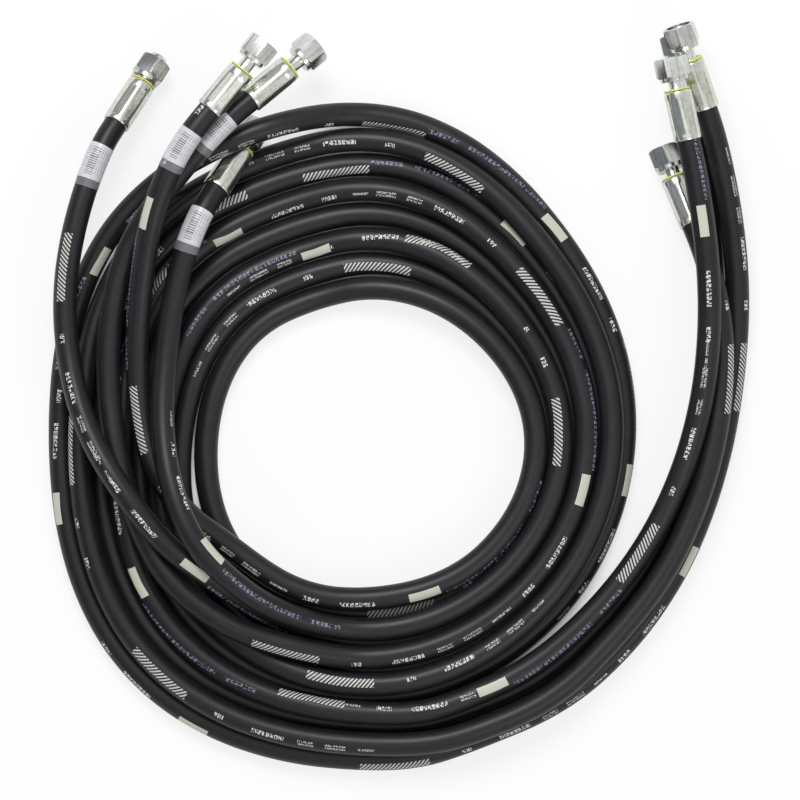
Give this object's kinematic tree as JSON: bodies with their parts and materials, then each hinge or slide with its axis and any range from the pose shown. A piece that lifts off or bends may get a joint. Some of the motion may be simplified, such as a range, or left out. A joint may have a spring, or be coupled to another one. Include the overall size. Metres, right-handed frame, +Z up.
{
  "type": "hydraulic hose assembly",
  "caption": "Coiled set of wire-braided rubber hydraulic hoses with crimped steel ferrules and swivel nuts on both ends of each hose.",
  "frame": {"origin": "middle of the set's outline seen from above, on the floor that the coil lies on", "axes": "+Z up from the floor; seen from above +X runs to the right ends and +Y towards the fittings"},
  "size_m": [0.5129, 0.5476, 0.0838],
  "materials": {
    "cover": "matt, fine wrapped texture",
    "braid": "brassed steel wire",
    "inner_tube": "smooth",
    "ferrule": "zinc plated, bright with a warm tint",
    "stem": "zinc plated, bright",
    "nut": "zinc plated, bright",
    "marker_ring": "yellow-green, satin",
    "seal": "smooth",
    "label": "printed strip",
    "sleeve": "clear shrink sleeve"
  },
  "bodies": {
    "root": {"cover_start_a": "cover", "cover_coil_a": "cover", "cover_end_a": "cover", "braid_a": "braid", "tube_a": "inner_tube", "ferrule_start_a": "ferrule", "stem_start_a": "stem", "ferrule_end_a": "ferrule", "stem_end_a": "stem", "rings_a": "marker_ring", "seals_a": "seal", "label_a": "label", "sleeve_a": "sleeve", "cover_start_b": "cover", "cover_coil_b": "cover", "cover_end_b": "cover", "braid_b": "braid", "tube_b": "inner_tube", "ferrule_start_b": "ferrule", "stem_start_b": "stem", "ferrule_end_b": "ferrule", "stem_end_b": "stem", "rings_b": "marker_ring", "seals_b": "seal", "label_b": "label", "sleeve_b": "sleeve", "cover_start_c": "cover", "cover_coil_c": "cover", "cover_end_c": "cover", "braid_c": "braid", "tube_c": "inner_tube", "ferrule_start_c": "ferrule", "stem_start_c": "stem", "ferrule_end_c": "ferrule", "stem_end_c": "stem", "rings_c": "marker_ring", "seals_c": "seal", "label_c": "label", "sleeve_c": "sleeve", "cover_start_d": "cover", "cover_coil_d": "cover", "cover_end_d": "cover", "braid_d": "braid", "tube_d": "inner_tube", "ferrule_start_d": "ferrule", "stem_start_d": "stem", "ferrule_end_d": "ferrule", "stem_end_d": "stem", "rings_d": "marker_ring", "seals_d": "seal", "label_d": "label", "sleeve_d": "sleeve"},
    "nut_body_start_a": {"nut_start_a": "nut"},
    "nut_body_end_a": {"nut_end_a": "nut"},
    "nut_body_start_b": {"nut_start_b": "nut"},
    "nut_body_end_b": {"nut_end_b": "nut"},
    "nut_body_start_c": {"nut_start_c": "nut"},
    "nut_body_end_c": {"nut_end_c": "nut"},
    "nut_body_start_d": {"nut_start_d": "nut"},
    "nut_body_end_d": {"nut_end_d": "nut"}
  },
  "joints": [
    {"name": "nut_spin_start_a", "type": "hinge", "parent": "root", "child": "nut_body_start_a", "pos_m": [-0.18177, 0.23814, 0.01587], "axis": [0.5074, 0.8077, -0.3002], "continuous": true},
    {"name": "nut_spin_end_a", "type": "hinge", "parent": "root", "child": "nut_body_end_a", "pos_m": [0.20609, 0.26158, 0.04006], "axis": [-0.3181, 0.9327, 0.1699], "continuous": true},
    {"name": "nut_spin_start_b", "type": "hinge", "parent": "root", "child": "nut_body_start_b", "pos_m": [-0.10227, 0.25021, 0.06978], "axis": [0.6306, 0.7735, -0.0637], "continuous": true},
    {"name": "nut_spin_end_b", "type": "hinge", "parent": "root", "child": "nut_body_end_b", "pos_m": [0.2032, 0.25651, 0.01324], "axis": [-0.2348, 0.9713, 0.0381], "continuous": true},
    {"name": "nut_spin_start_c", "type": "hinge", "parent": "root", "child": "nut_body_start_c", "pos_m": [-0.06628, 0.25015, 0.04478], "axis": [0.7552, 0.6277, -0.1888], "continuous": true},
    {"name": "nut_spin_end_c", "type": "hinge", "parent": "root", "child": "nut_body_end_c", "pos_m": [0.19872, 0.23769, 0.05546], "axis": [-0.2185, 0.9756, 0.0234], "continuous": true},
    {"name": "nut_spin_start_d", "type": "hinge", "parent": "root", "child": "nut_body_start_d", "pos_m": [-0.10746, 0.19242, 0.01815], "axis": [0.4864, 0.7815, -0.3907], "continuous": true},
    {"name": "nut_spin_end_d", "type": "hinge", "parent": "root", "child": "nut_body_end_d", "pos_m": [0.19589, 0.17376, 0.01605], "axis": [-0.3644, 0.9168, -0.1631], "continuous": true}
  ]
}
